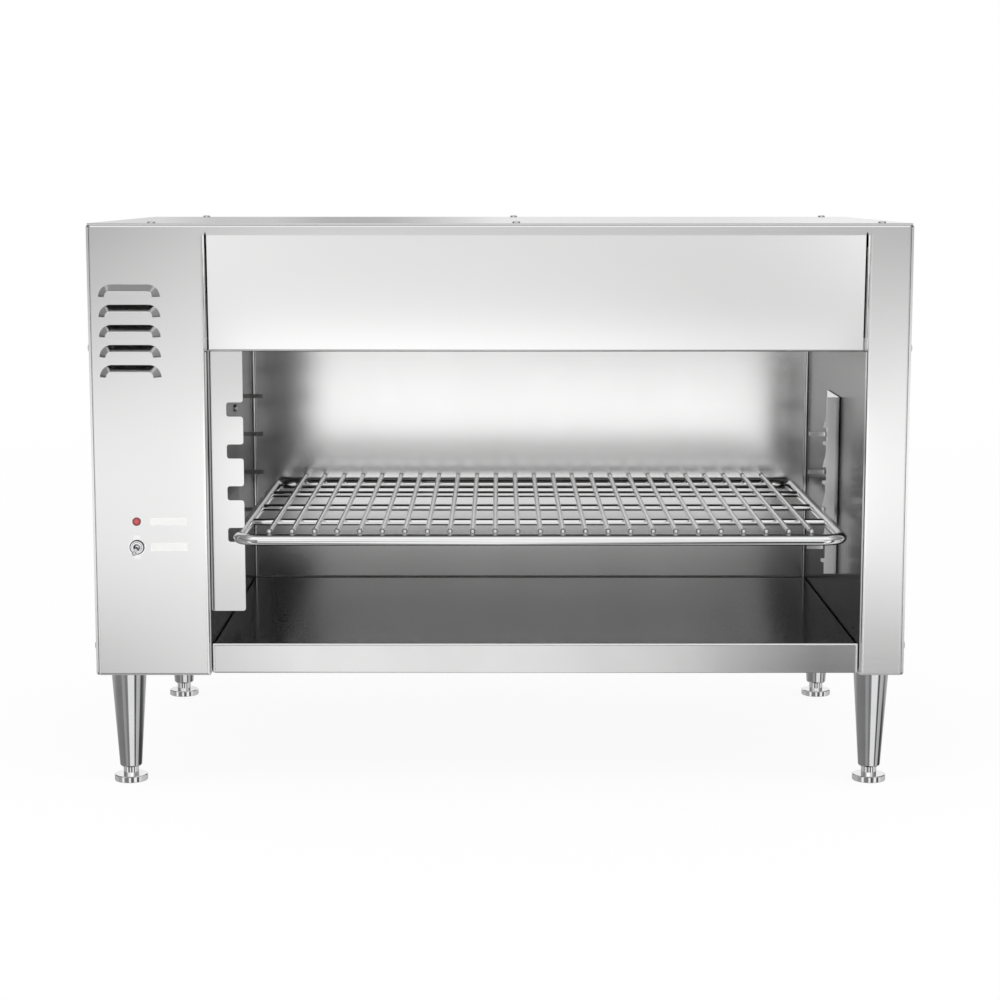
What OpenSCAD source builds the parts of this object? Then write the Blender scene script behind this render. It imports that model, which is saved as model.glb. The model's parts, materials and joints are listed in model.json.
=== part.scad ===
// Electric cheese melter: an open-fronted, top-heated finishing cabinet on four adjustable legs.
// +Z is up, the open front faces -Y, and the origin is on the floor under the middle of the whole object.

/* [Body] */
// Width over the side panels
body_w = 914; // [760:1:1100]
// Depth from the front face to the outside of the back panel
body_d = 508; // [440:1:600]
// Height of the body, without legs
body_h = 507.2; // [460:0.1:560]
// Sheet thickness of the outer panels
sheet = 1.2; // [0.8:0.1:1.8]
// Inside radius of every bend
bend_r = 1.8; // [1:0.1:2.4]
// Depth of the stiffening flanges round the panels
flange = 20; // [14:1:24]
// Thickness of the folded front edge of the side panels
hem_t = 2.6; // [2.4:0.1:3.6]
// How far the folded front edge of the side panels sits behind the front face
hem_back = 2.5; // [1:0.1:6]

/* [Front] */
// Distance from the left side of the body to the cavity opening
panel_w = 129; // [110:1:160]
// Distance from the right side of the body to the cavity opening
stile_w = 49; // [36:1:70]
// Distance from the top edge down to the lower edge of the hood
hood_h = 141; // [110:1:165]
// Height of the flat strip above the hood's bend line
hood_strip = 12; // [8:1:20]
// How far the lower edge of the hood leans back
hood_lean = 8; // [4:0.5:8.5]
// Depth of the flange along the hood's lower edge
hood_return = 9; // [5:0.5:14]
// Width of the relief slits beside the hood, at their lower end
slit_w = 4; // [2.6:0.1:6]
// Width of the relief slits at the hood's bend line
slit_top_w = 2.6; // [1.4:0.1:3]

/* [Louvres] */
// Number of louvres in the control panel
louvre_n = 5; // [3:1:6]
// Distance between louvres
louvre_pitch = 22.3; // [19:0.1:28]
// Width of one louvre
louvre_w = 68.4; // [50:0.1:80]
// Height of one louvre
louvre_h = 13.6; // [10:0.1:16]
// How far a louvre stands out of the panel
louvre_out = 8; // [5:0.1:9]
// Distance from the top edge to the middle of the first louvre
louvre_top = 72.8; // [60:0.1:90]
// Distance from the left side of the body to the middle of the louvres
louvre_x = 46.5; // [44:0.1:60]

/* [Controls] */
// Distance from the left side of the body to the switch and pilot light
control_x = 49.6; // [35:0.1:70]
// Height of the pilot light above the body's lower edge
pilot_up = 176.2; // [162:0.1:220]
// Height of the switch above the body's lower edge
switch_up = 147.3; // [110:0.1:148]
// Diameter of the pilot light's lens
pilot_d = 9.6; // [8:0.1:14]
// Diameter of the switch's threaded bushing
bushing_d = 11.9; // [11:0.1:13]
// Diameter of the switch's round dress nut
dress_nut_d = 16.6; // [15:0.1:20]
// Length of the switch lever from its pivot to its tip
lever_l = 24; // [18:0.5:26]
// Tilt of the lever from level when the switch is off
lever_tilt = 10.5; // [8:0.5:12]

/* [Cavity] */
// Distance from the cavity's back wall to the outside of the back panel
rear_space = 33; // [28:1:60]
// Distance from the top edge down to the cavity's ceiling
ceiling_drop = 75.5; // [66:0.5:100]
// Thickness of the insulation above the ceiling
insulation_t = 50; // [30:1:56]
// Height of the cavity's floor above the body's lower edge
floor_up = 31.7; // [27:0.1:45]
// How far the tray's front lip rises above its floor
lip_rise = 4; // [3:0.5:8]
// How far the tray's front lip sits behind the front face
lip_back = 8; // [2:0.5:12]
// Gap between the tray and the cavity's opening on the left
tray_gap_l = 3; // [2.6:0.1:6]
// Gap between the tray and the cavity's opening on the right
tray_gap_r = 4; // [2.6:0.1:6]

/* [Heating] */
// Diameter of a heating element's sheath
element_d = 10.9; // [8:0.1:12.7]
// Distance between the two legs of a hairpin
element_leg = 68; // [50:1:76]
// Distance between hairpins
element_pitch = 136; // [128:1:140]
// Distance from the ceiling down to the middle of the elements
element_drop = 32; // [24:1:36]

/* [Rack] */
// Diameter of the rack's outer rail
rail_d = 12.7; // [10:0.1:14]
// Diameter of the rack's cross rods
rod_d = 8; // [6:0.1:10]
// Diameter of the rack's wires
wire_d = 6; // [4:0.1:8]
// Number of wires
wire_n = 25; // [21:1:26]
// Distance between wires
wire_pitch = 25.2; // [23:0.1:26]
// Distance from the cavity opening's left edge to the rack
rack_gap_l = 27.5; // [20:0.5:30]
// Distance from the cavity opening's right edge to the rack
rack_gap_r = 17.5; // [16:0.5:24]
// How far the rack stands out in front of the front face
rack_proud = 22.35; // [10:0.05:40]
// Gap between the rack and the cavity's back wall
rack_gap_back = 2.65; // [2:0.05:10]
// Radius of the rail's corners, along its middle line
rack_corner = 24; // [18:0.5:40]

/* [Rack guides] */
// Sheet thickness of the rack guides
guide_t = 1.5; // [1:0.1:2]
// Number of rack positions
notch_n = 4; // [2:1:4]
// Distance between rack positions
notch_pitch = 47.3; // [40:0.1:50]
// Height of a notch
notch_h = 16; // [15:0.1:20]
// Height of the lowest notch's lower edge above the body's lower edge
notch_up = 151.3; // [120:0.1:160]
// Distance from the front face to the left guide
guide_l_y = 12; // [10.5:0.5:30]
// Distance from the front face to the right guide
guide_r_y = 185; // [60:1:200]
// Distance from the front face to the rear flanges of both guides
guide_rear_y = 290; // [240:1:320]
// Width of the left guide
guide_l_w = 39; // [36:0.5:44]
// Width of the right guide, over its teeth
guide_r_w = 19.8; // [18.6:0.1:26]
// Inside radius of the guides' bends
guide_bend = 3.2; // [1.5:0.1:4]

/* [Legs] */
// Distance from the floor to the body when the feet are as shown
leg_h = 128.9; // [100:0.1:150]
// Distance from the body's sides, front and back to the middle of a leg
leg_inset = 32; // [29:0.5:60]
// Diameter at the top of a leg
leg_top_d = 39.6; // [30:0.1:44]
// Diameter at the bottom of a leg
leg_bottom_d = 25; // [22:0.1:30]
// Diameter of a foot's disc
foot_d = 38; // [30:0.1:50]
// Thickness of a foot's disc
foot_t = 7.5; // [5:0.1:12]
// Diameter of a foot's stem
stem_d = 17.6; // [12:0.1:18]
// Length of stem that shows between disc and leg
stem_show = 9.4; // [6:0.1:30]
// Length of stem inside the leg
stem_in = 42; // [36:1:50]
// Diameter of a leg's threaded stud
leg_stud_d = 9.5; // [8:0.1:12]

/* [Fasteners] */
// Diameter of a panel screw's head
screw_head_d = 9; // [8:0.1:11]
// Height of a panel screw's head
screw_head_h = 2.4; // [1.8:0.1:3]
// Diameter of a panel screw's shank
screw_d = 4.2; // [3.5:0.1:5]
// Length of a panel screw's shank
screw_l = 9; // [7:0.5:12]

/* [Hidden] */
$fn = 48;

// Clearances
rest_gap = 0.3;      // between pieces of different bodies that rest on each other
run_gap = 0.05;      // radial, between a sliding stem, stud or bushing and its bore
hole_gap = 0.3;      // radial, between a screw or rod and the hole it passes through
lay_gap = 0.3;       // between a folded edge and the flange it covers
eps = 1;             // how far a cut runs past the surface that it opens

// The body's planes
bottom_z = leg_h;
top_z = leg_h + body_h;
side_x = body_w / 2;
rear_proud = screw_head_h;
front_y = -(body_d + rear_proud - rack_proud) / 2;
frame_x = side_x - hem_t - lay_gap;
base_z = bottom_z + sheet;
base_top = base_z + sheet;
rear_face = body_d - sheet;

// The cavity
open_l = -side_x + panel_w;
open_r = side_x - stile_w;
cavity_d = body_d - rear_space;
wall_l = open_l + sheet;
wall_r = open_r - sheet;
floor_z = bottom_z + floor_up;
ceiling_z = top_z - ceiling_drop;
hood_z = top_z - hood_h;
bend_z = top_z - hood_strip;
wall_front = 5;
wall_top = ceiling_z + insulation_t;
hood_clear = hood_lean + sheet + bend_r + lay_gap; // depth that the hood's lower edge takes

// The rack
rail_r = rail_d / 2;
rack_l = open_l + rack_gap_l + rail_r;
rack_r = open_r - rack_gap_r - rail_r;
rack_front = rail_r - rack_proud;
rack_rear = cavity_d - rack_gap_back - rail_r;
notch_z = bottom_z + notch_up;
rail_z = notch_z + rest_gap + rail_r;
wire_z = rail_z + rail_r + wire_d / 2;

// ---------- geometry helpers ----------

function unit(v) = v / norm(v);
function left_of(v) = [-v[1], v[0]];
function turn(a, b, c) = let(u = unit(b - a), v = unit(c - b)) atan2(u[0] * v[1] - u[1] * v[0], u * v);

// A line of points moved to its left by d
function moved(p, d) = [for (i = [0:len(p) - 1])
    let(u = left_of(unit(p[max(i, 1)] - p[max(i, 1) - 1])),
        j = min(i, len(p) - 2),
        v = left_of(unit(p[j + 1] - p[j])))
    p[i] + d * (u + v) / (1 + u * v)];

// The corner at b turned into an arc of radius r
function corner(a, b, c, r, steps = 6) =
    let(w = turn(a, b, c), s = sign(w), start = b - unit(b - a) * r * tan(abs(w) / 2),
        mid = start + s * r * left_of(unit(b - a)), from = start - mid)
    [for (i = [0:steps]) let(q = w * i / steps)
        mid + [from[0] * cos(q) - from[1] * sin(q), from[0] * sin(q) + from[1] * cos(q)]];

// A line whose corners are arcs: r_left where it turns left, r_right where it turns right
function curved(p, r_left, r_right) = [
    p[0],
    for (i = [1:len(p) - 2])
        each corner(p[i - 1], p[i], p[i + 1], turn(p[i - 1], p[i], p[i + 1]) > 0 ? r_left : r_right),
    p[len(p) - 1]
];

function reversed(p) = [for (i = [len(p) - 1:-1:0]) p[i]];

// Rectangle between two corners, with round corners
function round_box(a, b, r) = [for (c = [[b[0] - r, b[1] - r, 0], [a[0] + r, b[1] - r, 90],
        [a[0] + r, a[1] + r, 180], [b[0] - r, a[1] + r, 270]], q = [0:15:90])
    [c[0] + r * cos(c[2] + q), c[1] + r * sin(c[2] + q)]];

// Section of bent sheet t thick: p is its outline on one side, and the metal lies to the left of p
module bent(p, t = sheet, r = bend_r)
    polygon(concat(curved(p, r + t, r), reversed(curved(moved(p, t), r, r + t))));

// A section drawn in Y and Z, carried from x0 to x1
module along_x(x0, x1) translate([x0, 0, 0]) rotate([90, 0, 90]) linear_extrude(x1 - x0) children();

// A section drawn in X and Z, carried from y0 to y1
module along_y(y0, y1) translate([0, y1, 0]) rotate([90, 0, 0]) linear_extrude(y1 - y0) children();

// A section drawn in X and Y, carried from z0 to z1
module along_z(z0, z1) translate([0, 0, z0]) linear_extrude(z1 - z0) children();

module block(x0, x1, y0, y1, z0, z1) translate([x0, y0, z0]) cube([x1 - x0, y1 - y0, z1 - z0]);

module rod_x(x0, x1, y, z, d) translate([x0, y, z]) rotate([0, 90, 0]) cylinder(d = d, h = x1 - x0);
module rod_y(x, y0, y1, z, d) translate([x, y1, z]) rotate([90, 0, 0]) cylinder(d = d, h = y1 - y0);
module rod_z(x, y, z0, z1, d) translate([x, y, z0]) cylinder(d = d, h = z1 - z0);

// Plan outline with two rounded front corners
module front_plan(x0, x1, depth, r)
    polygon(curved([[x0, depth], [x0, 0], [x1, 0], [x1, depth]], r, r));

// Solid with rounded front edges: a panel and its flanges fill its skin
module front_block(x0, x1, z0, z1, depth, r) intersection() {
    along_z(z0, z1) front_plan(x0, x1, depth, r);
    along_x(x0, x1) polygon(curved([[depth, z1], [0, z1], [0, z0], [depth, z0]], r, r));
}

// Panel facing the front, with a flange on all four sides
module front_tray(x0, x1, z0, z1) difference() {
    front_block(x0, x1, z0, z1, flange, bend_r + sheet);
    translate([0, sheet, 0])
        front_block(x0 + sheet, x1 - sheet, z0 + sheet, z1 - sheet, flange + eps, bend_r);
}

// Everything is drawn with Y = 0 at the front face and moved into the object's own frame here
module at_front() translate([0, front_y, 0]) children();

// ---------- screws ----------

recess_l = screw_head_d * 0.56;
recess_w = screw_head_d * 0.14;

// Pan-head screw with a cross recess, head up, seated at Z = 0
module pan_screw(length = screw_l, head_d = screw_head_d, head_h = screw_head_h) {
    difference() {
        rotate_extrude() polygon(concat([[0, 0], [head_d / 2, 0]],
            [for (a = [0:18:90]) [head_d / 2 - head_h * (1 - cos(a)), head_h * (0.4 + 0.6 * sin(a))]],
            [[0, head_h]]));
        for (q = [0, 90]) rotate([0, 0, q]) translate([-recess_l / 2, -recess_w / 2, head_h / 2])
            cube([recess_l, recess_w, head_h]);
    }
    translate([0, 0, -length]) cylinder(d = screw_d, h = length);
}

module screw_hole(length = screw_l)
    translate([0, 0, -length - eps]) cylinder(d = screw_d + 2 * hole_gap, h = length + 2 * eps);

// Places of the panel screws: the child points along +Z out of the panel
screw_inset = 13;
top_screw_x = [-side_x + 71, 18, side_x - 34];
side_screw_low = 32.7;
side_screw_drop = 137;
side_screw_z = [bottom_z + side_screw_low, top_z - side_screw_drop];
back_screw_x = [-side_x + 12, side_x - 12];
back_screw_z = [bottom_z + 60, bottom_z + body_h / 2, top_z - 60];
top_plate_z = top_z + sheet;

module at_top_screws() for (x = top_screw_x, y = [screw_inset, body_d - screw_inset])
    translate([x, y, top_plate_z]) children();
module at_side_screws(s) for (z = side_screw_z, y = [screw_inset, body_d - screw_inset])
    translate([s * side_x, y, z]) rotate([0, s * 90, 0]) children();
module at_back_screws() for (x = back_screw_x, z = back_screw_z)
    translate([x, body_d, z]) rotate([-90, 0, 0]) children();
module at_base_screws() for (s = [-1, 1], y = [body_d * 0.3, body_d * 0.7])
    translate([s * (side_x - flange / 2 - 1), y, bottom_z]) rotate([180, 0, 0]) children();

module top_screws() color("silver") at_front() at_top_screws() pan_screw();
module side_screws() color("silver") at_front() for (s = [-1, 1]) at_side_screws(s) pan_screw();
module back_screws() color("silver") at_front() at_back_screws() pan_screw();
module base_screws() color("silver") at_front() at_base_screws() pan_screw();

// ---------- the front ----------

louvre_cx = -side_x + louvre_x;
control_cx = -side_x + control_x;
pilot_z = bottom_z + pilot_up;
switch_z = bottom_z + switch_up;
bushing_hole_d = bushing_d + 2 * hole_gap;
pilot_shank_d = pilot_d - 2.4;
slit_in = 1.5;       // how far a slit leans away from the stile at its upper end
slit_point = 4;      // how far a slit's point reaches above the bend line
slit_low = hood_z + 1.5;
louvre_blade = 0.44; // share of a louvre's height that is its upright blade
louvre_r = 1.6;      // radius between a louvre's blade and its slope

// Section of half a louvre: an upright blade over the mouth, then a slope back to the panel
function louvre_edge(out, high, back) = concat([[0, back]],
    curved([[0, -out], [high * louvre_blade, -out], [high, 0]], louvre_r, louvre_r), [[high, back]]);

// A louvre's bulge: straight in the middle, with round shoulders at both ends
module louvre_bulge(out, high, wide, back) {
    arm = wide / 2 - high;
    edge = louvre_edge(out, high, back);
    for (s = [-1, 1])
        translate([s * arm, 0, 0]) rotate([90, 0, 0]) rotate([0, 0, s > 0 ? 0 : 90])
            rotate_extrude(angle = 90) polygon([for (p = edge) [p[0], -p[1]]]);
    along_x(-arm, arm) polygon([for (p = edge) [p[1], p[0]]]);
}

module at_louvres() for (i = [0:louvre_n - 1])
    translate([louvre_cx, 0, top_z - louvre_top - i * louvre_pitch - louvre_h / 2]) children();

module hood() {
    // Top flange and flat strip over the whole width
    intersection() {
        along_x(-frame_x, frame_x) bent([[flange, top_z], [0, top_z], [0, bend_z]]);
        along_z(bend_z, top_z) front_plan(-frame_x, frame_x, flange, bend_r + sheet);
    }
    // Leaning face, let into the stiles' flanges
    along_x(open_l - sheet / 2, open_r + sheet / 2) bent([[0, bend_z + eps], [0, bend_z],
        [hood_lean, hood_z], [hood_lean + hood_return, hood_z]]);
}

// Relief slit beside the hood: pointed at the top, round at the bottom, with the stile at X = 0
module slit() polygon(concat(
    [[slit_in, bend_z], [slit_in + slit_top_w / 2, bend_z + slit_point], [slit_in + slit_top_w, bend_z]],
    [for (a = [0:30:180]) slit_w / 2 * [1 + cos(a), 1 - sin(a)] + [0, slit_low]]));

module front_frame() color("lightgray") at_front() difference() {
    union() {
        front_tray(-frame_x, open_l, bottom_z, top_z);
        front_tray(open_r, frame_x, bottom_z, top_z);
        hood();
        at_louvres() louvre_bulge(louvre_out, louvre_h, louvre_w, sheet / 2);
    }
    at_louvres() translate([0, 0, -0.01])
        louvre_bulge(louvre_out - sheet, louvre_h - sheet, louvre_w - 2 * sheet, sheet + eps);
    along_y(-eps, hood_lean + sheet + eps) {
        translate([open_l, 0]) slit();
        translate([open_r, 0]) mirror([1, 0]) slit();
    }
    // The hood's lower flange stops short of the left rack guide and of the right wall
    for (x = [[open_l, wall_l + guide_l_w + 4], [wall_r - lay_gap, open_r]])
        block(x[0], x[1], hood_lean + sheet + bend_r, flange, hood_z - eps, hood_z + sheet + bend_r);
    rod_y(control_cx, -eps, sheet + eps, switch_z, bushing_hole_d);
    rod_y(control_cx, -eps, sheet + eps, pilot_z, pilot_shank_d + 2 * hole_gap);
    at_top_screws() screw_hole();
    for (s = [-1, 1]) at_side_screws(s) screw_hole();
    at_base_screws() screw_hole();
}

// ---------- outer panels ----------

inlet_x = -side_x + 64;
inlet_z = bottom_z + 62;
inlet_d = 28.6;
inlet_bore_d = 22;
inlet_reach = 14;    // how far the inlet bushing reaches into the body
inlet_rim = 4;       // width of its rim round the hole
locknut_t = 4;
locknut_lug = 5;

module top_panel() color("gainsboro") at_front() difference() {
    block(-side_x + 1, side_x - 1, 4, body_d - 1, top_z, top_plate_z);
    at_top_screws() screw_hole();
}

hem_fold = 20;       // width of the side panels' folded front edge

// Side panel of the left side; the right one is its mirror image
module side_panel() difference() {
    union() {
        along_y(hem_back, rear_face) bent([[-side_x + flange, top_z], [-side_x, top_z],
            [-side_x, bottom_z], [-side_x + flange, bottom_z]]);
        // Front edge folded back on itself
        block(-side_x + sheet / 2, -side_x + hem_t, hem_back, hem_back + hem_fold,
            bottom_z + bend_r + sheet, top_z - bend_r - sheet);
        // Rear flange
        along_z(bottom_z + bend_r + sheet, top_z - bend_r - sheet)
            bent([[-side_x + flange, rear_face], [-side_x, rear_face], [-side_x, rear_face - flange]]);
    }
    // The front frame's flanges take the first stretch of the top and bottom flanges
    for (z = [top_z - sheet - bend_r, bottom_z - eps])
        block(-side_x + hem_t, -side_x + flange + eps, -eps, flange + lay_gap, z, z + sheet + bend_r + eps);
    at_side_screws(-1) screw_hole();
    at_top_screws() screw_hole();
    at_back_screws() screw_hole();
    at_base_screws() screw_hole();
}
module left_side_panel() color("silver") at_front() side_panel();
module right_side_panel() color("silver") at_front() difference() {
    mirror([1, 0, 0]) side_panel();
    at_top_screws() screw_hole();
}

module back_panel() color("silver") at_front() difference() {
    union() {
        block(-side_x + 1, side_x - 1, rear_face, body_d, bottom_z + 1, top_z - bend_r - sheet);
        along_x(-side_x + flange + 1, side_x - flange - 1)
            bent([[body_d, bottom_z + flange], [body_d, top_z], [body_d - flange, top_z]]);
        along_x(-side_x + flange + 1, side_x - flange - 1)
            bent([[body_d - flange, bottom_z], [body_d, bottom_z], [body_d, bottom_z + flange]]);
    }
    at_top_screws() screw_hole();
    at_back_screws() screw_hole();
    at_base_screws() screw_hole();
    rod_y(inlet_x, rear_face - eps, body_d + eps, inlet_z, inlet_d);
}

leg_x = side_x - leg_inset;
leg_y = [leg_inset, body_d - leg_inset];
base_front = bend_r + sheet + lay_gap;
base_rear = body_d - bend_r - sheet - lay_gap;
base_cut = 16;       // how far behind the tray's lip the base pan starts

module base_pan() color("darkgray") at_front() difference() {
    block(-frame_x + bend_r + sheet, frame_x - bend_r - sheet, base_front, base_rear, base_z, base_top);
    block(open_l - sheet - lay_gap, open_r + sheet + lay_gap, 0, lip_back + base_cut,
        base_z - eps, base_top + eps);
    for (x = [-leg_x, leg_x], y = leg_y)
        rod_z(x, y, base_z - eps, base_top + eps, leg_stud_d + 2 * hole_gap);
    at_base_screws() screw_hole();
}

module inlet_bushing() color("dimgray") at_front() translate([inlet_x, body_d, inlet_z]) rotate([-90, 0, 0])
    rotate_extrude() polygon([[inlet_bore_d / 2, -inlet_reach], [inlet_d / 2 - run_gap * 2, -inlet_reach],
        [inlet_d / 2 - run_gap * 2, 0], [inlet_d / 2 + inlet_rim, 0],
        [inlet_d / 2 + inlet_rim, screw_head_h - 1], [inlet_d / 2 + inlet_rim - 1, screw_head_h],
        [inlet_bore_d / 2 + 1, screw_head_h], [inlet_bore_d / 2, screw_head_h - 1]]);

module inlet_locknut() color("silver") at_front()
    translate([inlet_x, rear_face, inlet_z]) rotate([90, 0, 0]) difference() {
        union() {
            cylinder(d = inlet_d + 2 * inlet_rim, h = locknut_t);
            for (q = [0:45:315]) rotate([0, 0, q])
                translate([(inlet_d + inlet_rim) / 2, -locknut_lug / 2, 0])
                    cube([locknut_lug, locknut_lug, locknut_t]);
        }
        translate([0, 0, -eps]) cylinder(d = inlet_d, h = locknut_t + 2 * eps);
    }

// ---------- the cavity ----------

element_z = ceiling_z - element_drop;
element_y = [for (i = [-1, 0, 1]) cavity_d / 2 + i * element_pitch];
element_r = element_leg / 2;
element_right = wall_r - 28;
element_left = open_l - 22;
pin_d = 5;
insulator_d = element_d + 7;
insulator_gap = 0.1; // radial, round an element and round its insulators
insulator_back = 14; // how far an insulator reaches behind the cavity's left wall
insulator_head = 5;  // thickness of an insulator's head inside the cavity

module at_element_legs(ys = element_y) for (y = ys, s = [-1, 1])
    translate([0, y + s * element_r, element_z]) children();

ceiling_side = 14;   // height of the ceiling's side flanges
baffle_flange = 16;
baffle_y = 24;       // from the front face to the sheet behind the hood
baffle_low = hood_z + 14;
corner_gap = bend_r + 0.1; // dark joint between the back wall and a side wall
wall_flange = 18;    // width of the side walls' rear flanges
wall_rear = cavity_d + 8;

// Room beside the hood's lower edge, cut out of both side walls
module at_hood_edge() block(open_l - eps, open_r + eps, 0, hood_clear, hood_z - lay_gap, wall_top + eps);

// Side walls end in flanges that carry the back wall's folded sides
module cavity_left_wall() color("darkgray") at_front() difference() {
    along_z(base_top, wall_top)
        bent([[wall_l, wall_front], [wall_l, wall_rear], [wall_l + wall_flange, wall_rear]]);
    at_hood_edge();
    at_element_legs() rod_x(open_l - eps, wall_l + eps, 0, 0, insulator_d + 2 * insulator_gap);
    at_guide_screws(-1) screw_hole();
}

module cavity_right_wall() color("darkgray") at_front() difference() {
    along_z(base_top, wall_top)
        bent([[wall_r - wall_flange, wall_rear], [wall_r, wall_rear], [wall_r, wall_front]]);
    at_hood_edge();
    at_guide_screws(1) screw_hole();
}

module cavity_back_wall() color("darkgray") at_front() {
    along_z(base_top, wall_top) bent([[wall_l + corner_gap, wall_rear], [wall_l + corner_gap, cavity_d],
        [wall_r - corner_gap, cavity_d], [wall_r - corner_gap, wall_rear]]);
    // Top edge folded back towards the outer panel
    along_x(wall_l + corner_gap, wall_r - corner_gap) bent([[rear_face - 8, wall_top + sheet],
        [cavity_d, wall_top + sheet], [cavity_d, wall_top - flange]]);
}

module cavity_ceiling() color("silver") at_front()
    along_y(baffle_y, cavity_d) bent([[wall_l, ceiling_z + ceiling_side], [wall_l, ceiling_z],
        [wall_r, ceiling_z], [wall_r, ceiling_z + ceiling_side]]);

module front_baffle() color("darkgray") at_front() along_x(wall_l, wall_r)
    bent([[baffle_y + baffle_flange, ceiling_z], [baffle_y, ceiling_z], [baffle_y, baffle_low]]);

module ceiling_insulation() color("khaki") at_front()
    block(wall_l + bend_r + sheet, wall_r - bend_r - sheet, baffle_y + bend_r + sheet, cavity_d,
        ceiling_z + sheet, wall_top);

// One hairpin element: two legs, a bend at the right and a terminal pin on each end
module heating_element(y) color("dimgray") at_front() {
    at_element_legs([y]) {
        rod_x(element_left, element_right - element_r, 0, 0, element_d);
        rod_x(element_left - 16, element_left + eps, 0, 0, pin_d);
    }
    translate([element_right - element_r, y, element_z]) rotate([0, 0, -90])
        rotate_extrude(angle = 180) translate([element_r, 0]) circle(d = element_d);
}

module heating_element_front() heating_element(element_y[0]);
module heating_element_middle() heating_element(element_y[1]);
module heating_element_rear() heating_element(element_y[2]);

module element_insulators() color("ivory") at_front() at_element_legs() difference() {
    union() {
        rod_x(open_l - insulator_back, wall_l + insulator_head, 0, 0, insulator_d);
        rod_x(wall_l, wall_l + insulator_head, 0, 0, insulator_d + 6);
    }
    rod_x(open_l - insulator_back - eps, wall_l + insulator_head + eps, 0, 0,
        element_d + 2 * insulator_gap);
}

hanger_t = 1.5;
hanger_foot = 14;    // width of a hanger's flange under the ceiling
hanger_side = 12;    // how far a hanger reaches past an element's leg
hanger_x = [wall_l + (wall_r - wall_l) * 0.3, wall_r - 90];

module element_hangers() color("silver") at_front() for (x = hanger_x, y = element_y) difference() {
    union() {
        block(x, x + hanger_t, y - element_r - hanger_side, y + element_r + hanger_side,
            element_z - element_d, ceiling_z);
        block(x, x + hanger_foot, y - element_r - hanger_side, y + element_r + hanger_side,
            ceiling_z - hanger_t, ceiling_z);
    }
    at_element_legs([y]) rod_x(x - eps, x + hanger_t + eps, 0, 0, element_d + 2 * insulator_gap);
    block(x - eps, x + hanger_t + eps, y - element_r + hanger_side, y + element_r - hanger_side,
        element_z - element_d - eps, element_z + element_d);
}

// ---------- rack guides ----------

notch_l_x = rack_l - rail_r - 6;
notch_r_x = rack_r + rail_r + 1.2;
guide_tail = 79;     // from the rack's notch down to the left guide's lower end
guide_l_bottom = notch_z - guide_tail;
guide_l_top = baffle_low - 1;
guide_r_bottom = notch_z - 66;
guide_r_top = notch_z + (notch_n - 1) * notch_pitch + 5.5;
notch_r = 3;         // radius of the left guide's notches, fingers and lower corner
tooth_out = 3.7;     // how far the right guide's teeth stand out of its edge
tooth_ramp = 17;     // height of the ramp above a notch
tooth_lip = 5;       // height of the lip below a notch
guide_r_edge = wall_r - guide_r_w;

// Outline of the left guide's front flange in X and Z: fingers with round tips between the notches
module left_flange() {
    edge = wall_l + guide_l_w;
    inside = wall_l - 2 * notch_r;
    polygon(curved(concat([[inside, guide_l_top], [inside, guide_l_bottom], [edge, guide_l_bottom]],
        [for (i = [0:notch_n - 1]) let(z = notch_z + i * notch_pitch)
            each [[edge, z], [notch_l_x, z], [notch_l_x, z + notch_h], [edge, z + notch_h]]],
        [[edge, guide_l_top], [inside + eps, guide_l_top]]), notch_r, notch_r));
}

// Outline of the right guide's front flange: a lip and a ramp hold the rail at each height
module right_flange() polygon(concat([[guide_r_edge + tooth_out, guide_r_top], [wall_r, guide_r_top],
    [wall_r, guide_r_bottom], [guide_r_edge + tooth_out, guide_r_bottom]],
    [for (i = [0:notch_n - 1]) let(z = notch_z + (i - 1) * notch_pitch)
        each [[guide_r_edge + tooth_out, z - tooth_lip], [guide_r_edge, z - tooth_lip + 1],
            [guide_r_edge, z], [notch_r_x, z], [notch_r_x, z + notch_h], [guide_r_edge, z + notch_h],
            [guide_r_edge + tooth_out, z + notch_h + tooth_ramp]]]));

// Bent tabs under the rack's rear half, one at each height, from X = x0 to x1
tab_h = 5;
guide_web_end = guide_rear_y - guide_bend - guide_t;
module rear_tabs(x0, x1, first) along_y(guide_web_end - eps, guide_rear_y + eps) for (i = [0:notch_n - 1])
    translate([x0, notch_z + (first + i) * notch_pitch - tab_h]) square([x1 - x0, tab_h]);

module at_guide_screws(s) for (y = [guide_rear_y - 30, (s < 0 ? guide_l_y : guide_r_y) + 30],
        z = [guide_r_bottom + 20, guide_r_top - 20])
    translate([s < 0 ? wall_l + guide_t : wall_r - guide_t, y, z]) rotate([0, -s * 90, 0]) children();

module left_rack_guide() color("silver") at_front() difference() {
    intersection() {
        along_z(guide_l_bottom, guide_l_top) bent([[rack_l, guide_rear_y], [wall_l, guide_rear_y],
            [wall_l, guide_l_y], [wall_l + guide_l_w, guide_l_y]], guide_t, guide_bend);
        union() {
            along_y(guide_l_y - eps, guide_web_end) left_flange();
            rear_tabs(wall_l, rack_l, 0);
        }
    }
    at_guide_screws(-1) screw_hole();
}

module right_rack_guide() color("silver") at_front() difference() {
    intersection() {
        along_z(guide_r_bottom, guide_r_top) bent([[guide_r_edge, guide_r_y], [wall_r, guide_r_y],
            [wall_r, guide_rear_y], [rack_r, guide_rear_y]], guide_t, guide_bend);
        union() {
            along_y(guide_r_y - eps, guide_web_end) right_flange();
            rear_tabs(rack_r, wall_r, -1);
        }
    }
    at_guide_screws(1) screw_hole();
}

module guide_screws() color("silver") at_front() for (s = [-1, 1]) at_guide_screws(s) pan_screw(length = 6);

// ---------- rack ----------

weld_gap = 0.1;      // between a rod and the rod or rail that it is welded to
rod_y_places = [for (i = [1:3]) rack_front + (rack_rear - rack_front) * i / 4];
wire_mid = (rack_l + rack_r) / 2;
wire_front = rack_front + 2;
wire_rear = rack_rear + 4;
cross_rod_z = rail_z + rail_r - rod_d / 2;

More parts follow.
